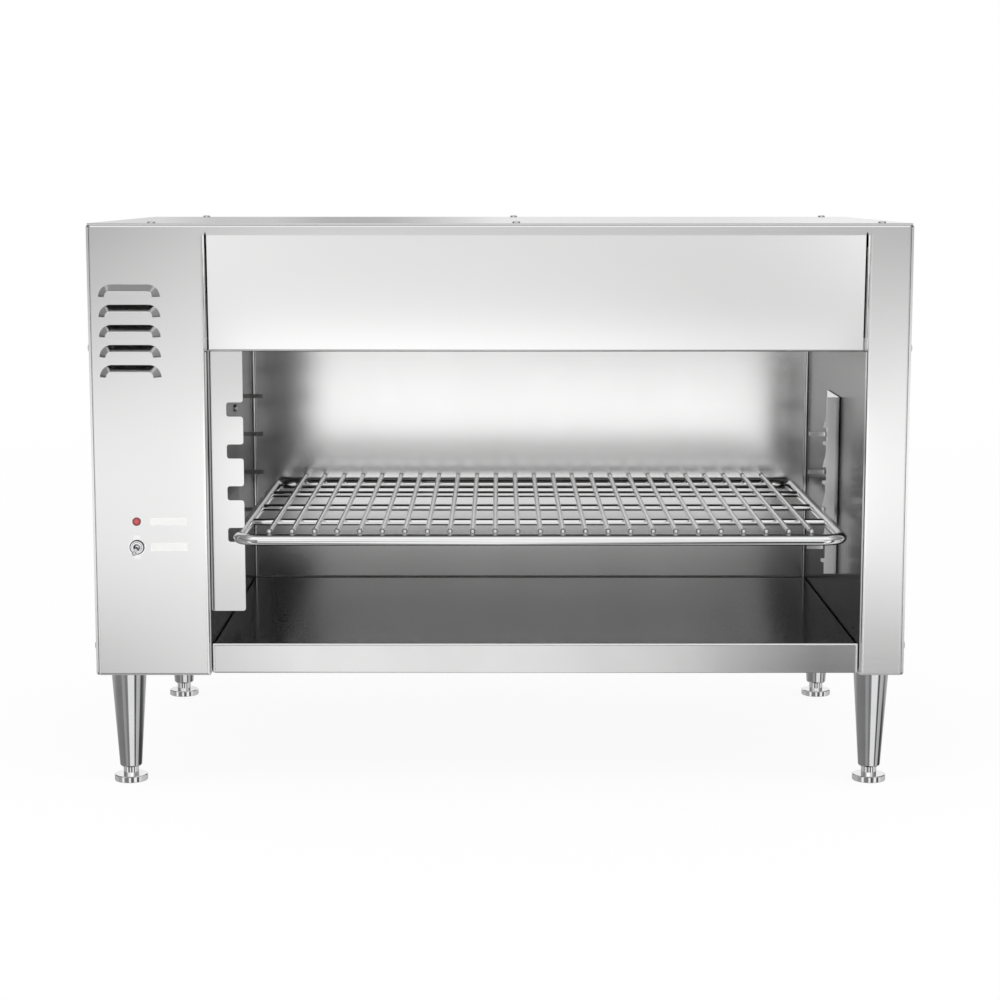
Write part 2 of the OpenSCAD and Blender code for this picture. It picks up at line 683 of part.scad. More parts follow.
module rack_rail() color("silver") at_front() {
    for (x = [rack_l, rack_r]) rod_y(x, rack_front + rack_corner, rack_rear - rack_corner, rail_z, rail_d);
    for (y = [rack_front, rack_rear]) rod_x(rack_l + rack_corner, rack_r - rack_corner, y, rail_z, rail_d);
    for (c = [[rack_l, rack_front, 1, 1, 180], [rack_r, rack_front, -1, 1, 270],
            [rack_r, rack_rear, -1, -1, 0], [rack_l, rack_rear, 1, -1, 90]])
        translate([c[0] + c[2] * rack_corner, c[1] + c[3] * rack_corner, rail_z]) rotate([0, 0, c[4]])
            rotate_extrude(angle = 90) translate([rack_corner, 0]) circle(d = rail_d);
}

module rack_cross_rods() color("silver") at_front() for (y = rod_y_places)
    rod_x(rack_l + rail_r + weld_gap, rack_r - rail_r - weld_gap, y, cross_rod_z, rod_d);

module rack_wires() color("silver") at_front() for (i = [0:wire_n - 1])
    translate([wire_mid + (i - (wire_n - 1) / 2) * wire_pitch, 0, 0]) {
        rod_y(0, wire_front, wire_rear, wire_z + weld_gap, wire_d);
        for (y = [wire_front, wire_rear]) translate([0, y, wire_z + weld_gap]) sphere(d = wire_d);
    }

// ---------- crumb tray ----------

tray_l = open_l + tray_gap_l;
tray_r = open_r - tray_gap_r;
lip_hem = 3.6;       // thickness of the lip's folded top edge
lip_bend = 0.6;      // inside radius of the lip's bends
lip_corner = 3;      // radius of the lip's corners, seen from the front
lip_low = bottom_z + 1;
tray_rear = cavity_d - 3;
tray_side_gap = 0.8; // between the tray's floor and the side walls
floor_l = wall_l + tray_side_gap;
floor_r = wall_r - tray_side_gap;
lip_top = floor_z + lip_rise;
lip_end = lip_back + base_cut + 2;

module crumb_tray() color("gray") at_front() {
    // Floor with turned-down sides that run on the base pan
    along_y(lip_back + base_cut + eps, tray_rear) bent([[floor_r, base_top + rest_gap], [floor_r, floor_z],
        [floor_l, floor_z], [floor_l, base_top + rest_gap]], sheet, lip_bend);
    block(tray_l + 2, tray_r - 2, lip_back + sheet / 2, lip_end, floor_z - sheet, floor_z);
    // Front lip: folded top edge, front face, bottom flange, and rounded ends
    intersection() {
        along_x(tray_l, tray_r) bent([[lip_back + lip_hem, floor_z - sheet], [lip_back + lip_hem, lip_top],
            [lip_back, lip_top], [lip_back, lip_low], [lip_back + base_cut - 2, lip_low]], sheet, lip_bend);
        translate([0, lip_back, 0]) along_z(lip_low - eps, lip_top + eps)
            front_plan(tray_l, tray_r, base_cut + 4, 2);
        along_y(lip_back - eps, lip_end + eps)
            polygon(round_box([tray_l, lip_low], [tray_r, lip_top], lip_corner));
    }
    // Ends of the lip, turned back to the sides
    for (x = [tray_l, tray_r - sheet])
        block(x, x + sheet, lip_back + 2, lip_end, base_top + rest_gap, lip_top - lip_corner);
}

// ---------- switch and pilot light ----------

legend_t = 0.8;
legend_ring = 1.5;     // how far the legend ring stands out round the dress nut
legend_tab = [7.4, 27.8];
legend_r = 2;        // radius of the legend tabs' corners
nut_t = 2.6;
bushing_front = legend_t + nut_t + 1;
bushing_rear = sheet + 2;
pivot_y = -legend_t;
switch_size = [17, 24, 28];
lug_size = [0.8, 8, 6];
bushing_shoulder = 1.6;
lever_ball_d = 6;
lever_hole_d = lever_ball_d + 2 * rest_gap;

module at_switch() translate([control_cx, 0, switch_z]) children();

// Moulded case with six terminal lugs
module switch_body() color("darkslategray") at_front() at_switch() translate([0, bushing_rear, 0]) {
    translate([-switch_size[0] / 2, 0, -switch_size[2] / 2]) cube(switch_size);
    for (x = [-0.3, 0.3], z = [-0.3, 0, 0.3])
        translate([x * switch_size[0] - lug_size[0] / 2, switch_size[1] - eps,
                z * switch_size[2] - lug_size[2] / 2])
            cube(lug_size + [0, eps, 0]);
}

// Threaded bushing with a shoulder behind the panel; the lever's ball sits in its bore
module switch_bushing() color("silver") at_front() at_switch() rotate([90, 0, 0]) rotate_extrude()
    polygon([[lever_hole_d / 2, -bushing_rear], [bushing_d / 2 + bushing_shoulder, -bushing_rear],
        [bushing_d / 2 + bushing_shoulder, -sheet], [bushing_d / 2, -sheet],
        [bushing_d / 2, bushing_front - 0.5], [bushing_d / 2 - 0.5, bushing_front],
        [lever_hole_d / 2 + 0.8, bushing_front], [lever_hole_d / 2, bushing_front - 0.8]]);

// Ring with a tab above and below, for the on and off marks
module switch_legend_plate() color("gainsboro") at_front() at_switch() along_y(-legend_t, 0) difference() {
    union() {
        circle(d = dress_nut_d + 2 * legend_ring);
        polygon(round_box(-legend_tab / 2, legend_tab / 2, legend_r));
    }
    circle(d = bushing_d + 2 * run_gap);
}

module switch_dress_nut() color("silver") at_front() at_switch() difference() {
    translate([0, -legend_t, 0]) rotate([90, 0, 0]) rotate_extrude() polygon([[bushing_d / 2 + run_gap, 0],
        [dress_nut_d / 2, 0], [dress_nut_d / 2, nut_t - 0.6], [dress_nut_d / 2 - 0.6, nut_t],
        [bushing_d / 2 + run_gap, nut_t]]);
    for (q = [0:15:345]) rotate([0, q, 0]) translate([dress_nut_d / 2, -legend_t, 0]) rotate([90, 0, 0])
        rotate([0, 0, 45]) translate([-0.35, -0.35, -eps]) cube([0.7, 0.7, nut_t + 2 * eps]);
}

// Bat-shaped lever on a ball, drawn along -Y and tilted down to its off place
module switch_lever() color("silver") at_front() at_switch() translate([0, pivot_y, 0])
    rotate([lever_tilt, 0, 0]) rotate([90, 0, 0]) rotate_extrude() polygon(concat(
        [for (a = [-90:15:60]) [lever_ball_d / 2 * cos(a), lever_ball_d / 2 * sin(a)]],
        [[1.5, lever_ball_d / 2 + 0.4], [2.7, lever_l - 3]],
        [for (a = [15:15:90]) [2.7 * cos(a), lever_l - 2.7 + 2.7 * sin(a)]]));

pilot_l = 24;        // how far the pilot light's case reaches behind the front
pilot_seat = 10;     // length of the lens's shank
pilot_lug = [0.8, 8, 4];

module pilot_body() color("dimgray") at_front() translate([control_cx, 0, pilot_z]) difference() {
    union() {
        rod_y(0, sheet, pilot_l, 0, pilot_d + 3);
        for (x = [-pilot_d / 4, pilot_d / 4])
            translate([x - pilot_lug[0] / 2, pilot_l - eps, -pilot_lug[2] / 2])
                cube(pilot_lug + [0, eps, 0]);
    }
    rod_y(0, sheet - eps, pilot_seat + 2, 0, pilot_shank_d + 2 * run_gap);
}

module pilot_lens() color("firebrick") at_front() translate([control_cx, 0, pilot_z]) rotate([90, 0, 0])
    rotate_extrude() polygon(concat([[0, -pilot_seat], [pilot_shank_d / 2, -pilot_seat],
        [pilot_shank_d / 2, 0], [pilot_d / 2, 0]],
        [for (a = [0:15:90]) [pilot_d / 2 * cos(a), 1 + 2 * sin(a)]]));

// ---------- inside the control compartment ----------

plate_x = -side_x + panel_w * 0.45;
plate_y = [body_d * 0.3, body_d * 0.79];
plate_h = body_h / 3;
plate_foot = 16;
parts_z = base_top + plate_h * 0.25;
block_n = 5;         // poles of the terminal block
pole_w = 16;
barrier_t = 2.4;
block_size = [20, block_n * pole_w, 36];
block_y = plate_y[1] - block_size[1] - 20;
contactor_size = [34, 70, 80];
coil_size = [12, 42, 56];
contactor_y = plate_y[0] + 28;
contactor_screw_d = 7;
contactor_screw_h = 4;

module component_plate() color("silver") at_front() along_y(plate_y[0], plate_y[1])
    bent([[plate_x, base_top + plate_h], [plate_x, base_top], [plate_x + plate_foot, base_top]]);

// Terminal block: poles between upright barriers, two screw holes to a pole
module terminal_block() color("black") at_front() translate([plate_x, block_y, parts_z]) difference() {
    union() {
        translate([-block_size[0], 0, 0]) cube(block_size);
        for (i = [0:block_n]) translate([-block_size[0] * 1.4, i * pole_w - barrier_t / 2, 0])
            cube([block_size[0] * 1.4, barrier_t, block_size[2]]);
    }
    for (i = [0:block_n - 1], z = [0.28, 0.72])
        rod_x(-block_size[0] - eps, -block_size[0] * 0.6, (i + 0.5) * pole_w, z * block_size[2],
            pole_w * 0.38);
}

// Contactor: a case with a raised middle and six terminal screws
module contactor() color("dimgray") at_front() translate([plate_x, contactor_y, parts_z]) {
    translate([-contactor_size[0], 0, 0]) cube(contactor_size);
    translate([-contactor_size[0] - coil_size[0], (contactor_size[1] - coil_size[1]) / 2,
            (contactor_size[2] - coil_size[2]) / 2]) cube(coil_size + [eps, 0, 0]);
    for (y = [0.12, 0.5, 0.88], z = [0.08, 0.92])
        rod_x(-contactor_size[0] - contactor_screw_h, -contactor_size[0] + eps, y * contactor_size[1],
            z * contactor_size[2], contactor_screw_d);
}

// ---------- legs and feet ----------

leg_low = foot_t + stem_show;
leg_bore = leg_low + stem_in + 26;
leg_stud_up = 14;
nut_washer_t = 1.6;
leg_nut_h = 8;

// Tapered leg with a bore for the foot's stem and a threaded stud on top
module leg(sx, y) color("silver") at_front() translate([sx * leg_x, y, 0]) rotate_extrude() polygon([
    [0, leg_bore], [stem_d / 2 + run_gap, leg_bore], [stem_d / 2 + run_gap, leg_low],
    [leg_bottom_d / 2 - 1.4, leg_low], [leg_bottom_d / 2, leg_low + 1.6],
    [leg_top_d / 2, leg_h - 2], [leg_top_d / 2, leg_h], [leg_stud_d / 2, leg_h],
    [leg_stud_d / 2, base_top + leg_stud_up], [0, base_top + leg_stud_up]]);

module front_left_leg() leg(-1, leg_y[0]);
module front_right_leg() leg(1, leg_y[0]);
module rear_left_leg() leg(-1, leg_y[1]);
module rear_right_leg() leg(1, leg_y[1]);

// Hexagon nuts with washers, inside the base pan
module leg_nuts() color("silver") at_front() for (x = [-leg_x, leg_x], y = leg_y)
    translate([x, y, base_top]) difference() {
        union() {
            cylinder(d = leg_stud_d * 2.2, h = nut_washer_t);
            translate([0, 0, nut_washer_t]) cylinder(d = leg_stud_d * 1.75, h = leg_nut_h, $fn = 6);
        }
        translate([0, 0, -eps])
            cylinder(d = leg_stud_d + 2 * run_gap, h = nut_washer_t + leg_nut_h + 2 * eps);
    }

// Adjustable foot: disc with a worn edge radius, and a smooth stem that screws into the leg
module foot(sx, y) color("silver") at_front() translate([sx * leg_x, y, 0]) rotate_extrude() polygon([
    [0, 0], [foot_d / 2 - 0.8, 0], [foot_d / 2, 0.8], [foot_d / 2, foot_t - 1], [foot_d / 2 - 1, foot_t],
    [stem_d / 2, foot_t], [stem_d / 2, leg_low + stem_in - 1], [stem_d / 2 - 1, leg_low + stem_in],
    [0, leg_low + stem_in]]);

module front_left_foot() foot(-1, leg_y[0]);
module front_right_foot() foot(1, leg_y[0]);
module rear_left_foot() foot(-1, leg_y[1]);
module rear_right_foot() foot(1, leg_y[1]);

front_frame();
top_panel();
left_side_panel();
right_side_panel();
back_panel();
base_pan();
cavity_left_wall();
cavity_right_wall();
cavity_back_wall();
cavity_ceiling();
ceiling_insulation();
front_baffle();
heating_element_front();
heating_element_middle();
heating_element_rear();
element_insulators();
element_hangers();
left_rack_guide();
right_rack_guide();
guide_screws();
rack_rail();
rack_cross_rods();
rack_wires();
crumb_tray();
switch_body();
switch_bushing();
switch_legend_plate();
switch_dress_nut();
switch_lever();
pilot_body();
pilot_lens();
component_plate();
terminal_block();
contactor();
inlet_bushing();
inlet_locknut();
front_left_leg();
front_right_leg();
rear_left_leg();
rear_right_leg();
leg_nuts();
front_left_foot();
front_right_foot();
rear_left_foot();
rear_right_foot();
top_screws();
side_screws();
back_screws();
base_screws();
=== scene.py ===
import json
import math

import bmesh
import bpy
from mathutils import Matrix, Vector


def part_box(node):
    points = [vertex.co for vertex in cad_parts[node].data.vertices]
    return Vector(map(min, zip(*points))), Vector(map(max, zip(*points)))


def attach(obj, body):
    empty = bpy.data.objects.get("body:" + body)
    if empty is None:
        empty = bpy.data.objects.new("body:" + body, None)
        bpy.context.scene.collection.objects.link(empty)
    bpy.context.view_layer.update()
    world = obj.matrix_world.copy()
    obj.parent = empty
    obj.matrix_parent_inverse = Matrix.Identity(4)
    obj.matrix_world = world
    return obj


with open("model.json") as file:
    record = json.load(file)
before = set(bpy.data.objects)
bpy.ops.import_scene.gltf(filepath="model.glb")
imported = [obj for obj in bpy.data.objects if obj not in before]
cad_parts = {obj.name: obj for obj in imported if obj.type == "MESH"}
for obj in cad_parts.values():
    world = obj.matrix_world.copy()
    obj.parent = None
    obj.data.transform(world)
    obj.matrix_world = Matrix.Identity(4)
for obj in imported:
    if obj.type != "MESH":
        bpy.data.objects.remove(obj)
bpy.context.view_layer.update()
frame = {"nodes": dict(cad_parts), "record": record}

# ---------------------------------------------------------------- places, from the frame
MM = 0.001
BODY_DEPTH = 508 * MM
BODY_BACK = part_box("back_panel")[1].y
FRONT_Y = BODY_BACK - BODY_DEPTH
OBJECT_CENTRE = Vector((0, 0, 0.32))


# ---------------------------------------------------------------- small node helpers
NOISE_LOW, NOISE_HIGH = 0.25, 0.75


def new_material(name):
    """A material with a Principled shader; returns the material, its node tree and the shader."""
    material = bpy.data.materials.new(name)
    material.use_nodes = True
    tree = material.node_tree
    return material, tree, tree.nodes["Principled BSDF"]


def add(tree, kind, inputs=None, **settings):
    """A node of that kind, with its settings and its unlinked inputs' values."""
    node = tree.nodes.new(kind)
    for key, value in settings.items():
        setattr(node, key, value)
    for key, value in (inputs or {}).items():
        node.inputs[key].default_value = value
    return node


def link(tree, out_socket, in_socket):
    tree.links.new(out_socket, in_socket)


def set_shader(shader, **values):
    """Values that are the same all over the surface go on the shader's own sockets."""
    for key, value in values.items():
        shader.inputs[key.replace("_", " ")].default_value = value


def object_space(tree, scale=(1, 1, 1), rotation=(0, 0, 0)):
    """Object coordinates, stretched: every CAD node's own coordinates are the part's frame in metres."""
    place = add(tree, "ShaderNodeTexCoord")
    mapping = add(tree, "ShaderNodeMapping", {"Scale": scale, "Rotation": rotation})
    link(tree, place.outputs["Object"], mapping.inputs["Vector"])
    return mapping.outputs["Vector"]


def noise(tree, vector, scale, detail=3.0, roughness=0.55):
    node = add(tree, "ShaderNodeTexNoise", {"Scale": scale, "Detail": detail, "Roughness": roughness})
    link(tree, vector, node.inputs["Vector"])
    return node.outputs["Fac"]


def spread(tree, value, low, high):
    """Maps the range where most noise lies to low..high."""
    node = add(tree, "ShaderNodeMapRange", {"From Min": NOISE_LOW, "From Max": NOISE_HIGH,
                                            "To Min": low, "To Max": high})
    link(tree, value, node.inputs["Value"])
    return node.outputs["Result"]


def blend_values(tree, a, b, share):
    """a and b mixed, with that share of b."""
    node = add(tree, "ShaderNodeMix", {"Factor": share}, data_type="FLOAT")
    link(tree, a, node.inputs[2])
    link(tree, b, node.inputs[3])
    return node.outputs[0]


def grey_ramp(tree, value, stops):
    """A ramp of greys: stops is a list of (place, grey)."""
    ramp = add(tree, "ShaderNodeValToRGB")
    points = ramp.color_ramp.elements
    while len(points) < len(stops):
        points.new(0.5)
    for point, (place, grey) in zip(points, stops):
        point.position = place
        point.color = (grey, grey, grey, 1)
    link(tree, value, ramp.inputs["Fac"])
    return ramp.outputs["Color"]


def tint(tree, value, dark, light):
    """A colour between dark and light."""
    ramp = add(tree, "ShaderNodeValToRGB")
    for point, place, colour in zip(ramp.color_ramp.elements, (NOISE_LOW, NOISE_HIGH), (dark, light)):
        point.position = place
        point.color = (*colour, 1)
    link(tree, value, ramp.inputs["Fac"])
    return ramp.outputs["Color"]


def mix_colours(tree, share, a, b):
    node = add(tree, "ShaderNodeMix", data_type="RGBA")
    link(tree, share, node.inputs[0])
    link(tree, a, node.inputs[6])
    link(tree, b, node.inputs[7])
    return node.outputs[2]


def multiply_colours(tree, a, b):
    node = add(tree, "ShaderNodeMix", data_type="RGBA", blend_type="MULTIPLY")
    node.inputs[0].default_value = 1.0
    link(tree, a, node.inputs[6])
    link(tree, b, node.inputs[7])
    return node.outputs[2]


def bump(tree, shader, height, strength, distance):
    node = add(tree, "ShaderNodeBump", {"Strength": strength, "Distance": distance})
    link(tree, height, node.inputs["Height"])
    link(tree, node.outputs["Normal"], shader.inputs["Normal"])


# ---------------------------------------------------------------- materials
GRAIN_ALONG = {"x": (1.2, 260, 260), "z": (260, 260, 1.2)}
GRAIN_STRENGTH, GRAIN_DEPTH = 0.012, 0.4 * MM
POLISH_SCALE, FINE_DEPTH = 900.0, 0.2 * MM
PATCH_SCALE = 9.0


def brushed(name, dark, light, rough_low, rough_high, along="x", edge=1.0):
    """Brushed stainless sheet: fine grain along one axis over soft, wide changes of finish.

    edge is the share of its mirror strength that a heat-dulled sheet keeps when seen at a flat angle.
    """
    material, tree, shader = new_material(name)
    set_shader(shader, Metallic=1.0, Specular_Tint=(edge, edge, edge, 1))
    lines = noise(tree, object_space(tree, GRAIN_ALONG[along]), 3.0, detail=5.0, roughness=0.6)
    clouds = noise(tree, object_space(tree), 7.0, detail=3.0)
    mixed = blend_values(tree, lines, clouds, 0.5)
    link(tree, tint(tree, mixed, dark, light), shader.inputs["Base Color"])
    link(tree, spread(tree, mixed, rough_low, rough_high), shader.inputs["Roughness"])
    bump(tree, shader, lines, GRAIN_STRENGTH, GRAIN_DEPTH)
    return material


def shade(material, axis, places, patch_dark):
    """Paints shade into a metal's colour along one axis of the part.

    places is a list of (metres, share of the colour kept); faint patches keep patch_dark or more of it.
    """
    tree = material.node_tree
    shader = tree.nodes["Principled BSDF"]
    bright = shader.inputs["Base Color"].links[0].from_socket
    parts = add(tree, "ShaderNodeSeparateXYZ")
    link(tree, object_space(tree), parts.inputs["Vector"])
    low, high = places[0][0], places[-1][0]
    along = add(tree, "ShaderNodeMapRange", {"From Min": low, "From Max": high})
    link(tree, parts.outputs[axis], along.inputs["Value"])
    stops = [((at - low) / (high - low), share) for at, share in places]
    kept = grey_ramp(tree, along.outputs["Result"], stops)
    patches = tint(tree, noise(tree, object_space(tree), PATCH_SCALE), (patch_dark,) * 3, (1.0, 1.0, 1.0))
    # painted shade: the colour darkened along the axis by the ramp
    dulled = multiply_colours(tree, bright, kept)
    link(tree, multiply_colours(tree, dulled, patches), shader.inputs["Base Color"])
    return material


def shade_round(material, node, places):
    """Paints shade into a colour with the distance in metres from a node's own middle, seen from the front.
    """
    tree = material.node_tree
    shader = tree.nodes["Principled BSDF"]
    bright = shader.inputs["Base Color"].links[0].from_socket
    low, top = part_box(node)
    middle = (low + top) / 2
    flat = add(tree, "ShaderNodeVectorMath", {1: (1, 0, 1)}, operation="MULTIPLY")
    link(tree, object_space(tree), flat.inputs[0])
    away = add(tree, "ShaderNodeVectorMath", {1: (middle.x, 0, middle.z)}, operation="DISTANCE")
    link(tree, flat.outputs["Vector"], away.inputs[0])
    reach = places[-1][0]
    share = add(tree, "ShaderNodeMath", {1: reach}, operation="DIVIDE")
    link(tree, away.outputs["Value"], share.inputs[0])
    kept = grey_ramp(tree, share.outputs[0], [(at / reach, grey) for at, grey in places])
    link(tree, multiply_colours(tree, bright, kept), shader.inputs["Base Color"])
    return material


def tray_steel(name):
    """The lip in front is kept bright; the floor behind it and the tray's ends, the right one most, are
    darkened by painted shade.
    """
    material = brushed(name, (0.88, 0.88, 0.878), (0.91, 0.91, 0.908), 0.12, 0.15, "x", edge=0.48)
    shade(material, "Y", [(FRONT_Y + 12 * MM, 1.0), (FRONT_Y + 16 * MM, 0.68)], 0.94)
    return shade(material, "X", [(-0.31, 0.90), (-0.22, 1.0), (0.22, 1.0), (0.36, 0.60)], 0.97)


def wall_steel(name):
    """Side walls of the cavity: darker than the outside through painted shade, most of all in a band two
    thirds of the way up.
    """
    material = brushed(name, (0.86, 0.86, 0.858), (0.90, 0.90, 0.898), 0.16, 0.21, "z", edge=0.46)
    places = [(0.16, 0.66), (0.34, 0.60), (0.38, 0.34), (0.42, 0.46), (0.47, 0.80)]
    return shade(material, "Z", places, 0.94)


def back_steel(name):
    """Back wall: bright above the rack, with painted shade below it and towards the left corner."""
    material = brushed(name, (0.86, 0.86, 0.857), (0.93, 0.93, 0.927), 0.15, 0.18, "x")
    shade(material, "Z", [(0.14, 0.66), (0.24, 0.84), (0.33, 0.96), (0.37, 1.0)], 0.97)
    return shade(material, "X", [(-0.33, 0.62), (-0.29, 0.78), (-0.22, 0.97), (-0.15, 1.0)], 0.98)


def guide_steel(name):
    """Left guide: its front flange is bright; the web behind it is darkened by painted shade."""
    material = brushed(name, (0.75, 0.75, 0.748), (0.79, 0.79, 0.788), 0.15, 0.18, "z", edge=0.36)
    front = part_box("left_rack_guide")[0].y
    return shade(material, "Y", [(front + 2 * MM, 1.0), (front + 4 * MM, 0.50)], 0.97)


def nut_chrome(name):
    """Turned nut: bright face inside a rim darkened by painted shade."""
    material = chrome(name, (0.86, 0.86, 0.87), (0.93, 0.93, 0.94), 0.12, 0.2)
    places = [(0.0, 1.0), (6.9 * MM, 1.0), (7.3 * MM, 0.10), (9 * MM, 0.10)]
    return shade_round(material, "switch_dress_nut", places)


def chrome(name, dark, light, rough_low, rough_high, grain=0.02):
    """Plated wire or turned metal: bright, with faint polishing marks."""
    material, tree, shader = new_material(name)
    set_shader(shader, Metallic=1.0)
    marks = noise(tree, object_space(tree), POLISH_SCALE, detail=4.0)
    clouds = noise(tree, object_space(tree), 30.0)
    mixed = blend_values(tree, marks, clouds, 0.6)
    link(tree, tint(tree, mixed, dark, light), shader.inputs["Base Color"])
    link(tree, spread(tree, mixed, rough_low, rough_high), shader.inputs["Roughness"])
    bump(tree, shader, marks, grain, FINE_DEPTH)
    return material


def wire_chrome(name):
    """The rack's wires: their rounded front ends are satin, so they shine as white dots."""
    material = chrome(name, (0.86, 0.86, 0.865), (0.92, 0.92, 0.925), 0.04, 0.08, grain=0.006)
    tree = material.node_tree
    shader = tree.nodes["Principled BSDF"]
    plated = shader.inputs["Roughness"].links[0].from_socket
    parts = add(tree, "ShaderNodeSeparateXYZ")
    link(tree, object_space(tree), parts.inputs["Vector"])
    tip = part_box("rack_wires")[0].y
    near = add(tree, "ShaderNodeMapRange", {"From Min": tip + 2 * MM, "From Max": tip + 5 * MM,
                                           "To Min": 0.34, "To Max": 0.0})
    link(tree, parts.outputs["Y"], near.inputs["Value"])
    rough = add(tree, "ShaderNodeMath", operation="ADD")
    link(tree, plated, rough.inputs[0])
    link(tree, near.outputs["Result"], rough.inputs[1])
    link(tree, rough.outputs[0], shader.inputs["Roughness"])
    return material


def moulded(name, dark, light, rough_low, rough_high, fine=1400.0, strength=0.12):
    """Moulded plastic or ceramic: a fine grain in the surface and slight changes of tone."""
    material, tree, shader = new_material(name)
    grain = noise(tree, object_space(tree), fine, detail=2.0)
    clouds = noise(tree, object_space(tree), 60.0)
    link(tree, tint(tree, clouds, dark, light), shader.inputs["Base Color"])
    link(tree, spread(tree, grain, rough_low, rough_high), shader.inputs["Roughness"])
    bump(tree, shader, grain, strength, FINE_DEPTH)
    return material


def lamp_lens(name):
    """Translucent red lens with fine flutes inside, darkened towards its rim by painted shade."""
    material, tree, shader = new_material(name)
    set_shader(shader, Coat_Weight=0.6, Coat_Roughness=0.08)
    flutes = noise(tree, object_space(tree), 700.0, detail=2.0)
    link(tree, tint(tree, flutes, (0.54, 0.07, 0.08), (0.68, 0.10, 0.115)), shader.inputs["Base Color"])
    link(tree, spread(tree, flutes, 0.16, 0.30), shader.inputs["Roughness"])
    bump(tree, shader, flutes, 0.15, 0.0003)
    return shade_round(material, "pilot_lens", [(0.0, 1.0), (2.0 * MM, 0.9), (4.0 * MM, 0.36), (6 * MM, 0.3)])


def mineral_wool(name):
    material, tree, shader = new_material(name)
    fibres = noise(tree, object_space(tree, (1, 1, 6)), 160.0, detail=8.0, roughness=0.7)
    link(tree, tint(tree, fibres, (0.42, 0.36, 0.22), (0.72, 0.66, 0.50)), shader.inputs["Base Color"])
    link(tree, spread(tree, fibres, 0.85, 1.0), shader.inputs["Roughness"])
    bump(tree, shader, fibres, 0.8, 0.002)
    return material


def make_materials():
    """One finish for each of the record's slots, each node in OWN_FINISH and each of the scene's pieces."""
    finishes = {
        "panel_steel": (brushed, (0.88, 0.88, 0.878), (0.91, 0.91, 0.908), 0.15, 0.18, "x"),
        "cavity_steel": (brushed, (0.80, 0.80, 0.797), (0.85, 0.85, 0.847), 0.16, 0.21, "z"),
        "back_steel": (back_steel,),
        "wall_steel": (wall_steel,),
        "hot_steel": (brushed, (0.22, 0.21, 0.20), (0.34, 0.32, 0.30), 0.30, 0.42, "x"),
        "guide_steel": (guide_steel,),
        "far_guide_steel": (brushed, (0.76, 0.76, 0.758), (0.84, 0.84, 0.838), 0.20, 0.26, "z"),
        "nut_chrome": (nut_chrome,),
        "seam_steel": (chrome, (0.92, 0.92, 0.92), (0.97, 0.97, 0.97), 0.22, 0.28, 0.006),
        "tray_steel": (tray_steel,),
        "wire_chrome": (wire_chrome,),
        "joint_grey": (moulded, (0.34, 0.34, 0.34), (0.44, 0.44, 0.44), 0.5, 0.6, 600, 0.05),
        # Painted shade: dark grey for the bead that stands for the shade on the left guide's bent edge
        "painted_shade_seam": (brushed, (0.44, 0.44, 0.44), (0.56, 0.56, 0.56), 0.30, 0.40, "z"),
        "foot_chrome": (chrome, (0.84, 0.84, 0.85), (0.93, 0.93, 0.94), 0.03, 0.06, 0.004),
        "insulation": (mineral_wool,),
        "element_sheath": (brushed, (0.10, 0.10, 0.11), (0.20, 0.19, 0.19), 0.45, 0.65, "x"),
        "white_ceramic": (moulded, (0.78, 0.76, 0.70), (0.88, 0.86, 0.81), 0.2, 0.35, 500, 0.05),
        "screw_steel": (chrome, (0.84, 0.84, 0.84), (0.93, 0.93, 0.93), 0.20, 0.30),
        "chrome_wire": (chrome, (0.86, 0.86, 0.865), (0.92, 0.92, 0.925), 0.04, 0.08, 0.006),
        "leg_chrome": (chrome, (0.68, 0.68, 0.69), (0.80, 0.80, 0.81), 0.06, 0.14),
        "black_plastic": (moulded, (0.015, 0.015, 0.016), (0.04, 0.04, 0.042), 0.4, 0.6),
        "switch_chrome": (chrome, (0.78, 0.78, 0.79), (0.88, 0.88, 0.89), 0.05, 0.12),
        "red_lens": (lamp_lens,),
    }
    return {name: make(name, *values) for name, (make, *values) in finishes.items()}


# Nodes whose finish differs from that of their slot
OWN_FINISH = {"crumb_tray": "tray_steel", "cavity_left_wall": "wall_steel", "cavity_right_wall": "wall_steel",
              "cavity_back_wall": "back_steel", "cavity_ceiling": "hot_steel", "front_baffle": "hot_steel",
              "left_rack_guide": "guide_steel", "right_rack_guide": "far_guide_steel",
              "switch_dress_nut": "nut_chrome", "rack_wires": "wire_chrome",
              "front_left_foot": "foot_chrome", "front_right_foot": "foot_chrome",
              "rear_left_foot": "foot_chrome", "rear_right_foot": "foot_chrome"}


CREASE_ANGLE = math.radians(32)
SEAM_CREASE_ANGLE = math.radians(40)


def dress_cad(materials):
    """Gives every CAD node the finish of its slot, with round faces smooth and edges crisp."""
    slots = {row["node"]: row["material_slot"] for row in frame["record"]["subparts"]}
    slots.update(OWN_FINISH)
    for name, node in frame["nodes"].items():
        node.data.materials.clear()
        node.data.materials.append(materials[slots[name]])
        node.data.shade_smooth()
        node.data.set_sharp_from_angle(angle=CREASE_ANGLE)


# ---------------------------------------------------------------- pieces that only the looks need
LABEL_RIGHT_OF_NEIGHBOUR = 36 * MM
LABEL_THICK = 0.5 * MM
LABEL_CORNER = 1.2 * MM
LABEL_BEVEL_SHARE = 0.35
# Name, node at the same height, width and height in mm
LABELS = [("pilot_label_plate", "pilot_lens", 41.6, 8.7),
          ("switch_label_plate", "switch_legend_plate", 42.0, 9.8)]
CORNER_STEPS = 7
CORNER_SEAM_RADIUS = 1.5 * MM
JOINT_SEAM_RADIUS = 1.0 * MM
GUIDE_SHADE_BEAD_RADIUS = 1.3 * MM
LIP_EDGE_RADIUS = 1.5 * MM


def finish_piece(name, mesh, material, body):
    """Adds a piece to the scene with its material, riding on a body of the part."""
    piece = bpy.data.objects.new(name, mesh)
    bpy.context.collection.objects.link(piece)
    piece.data.materials.append(material)
    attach(piece, body)
    return piece


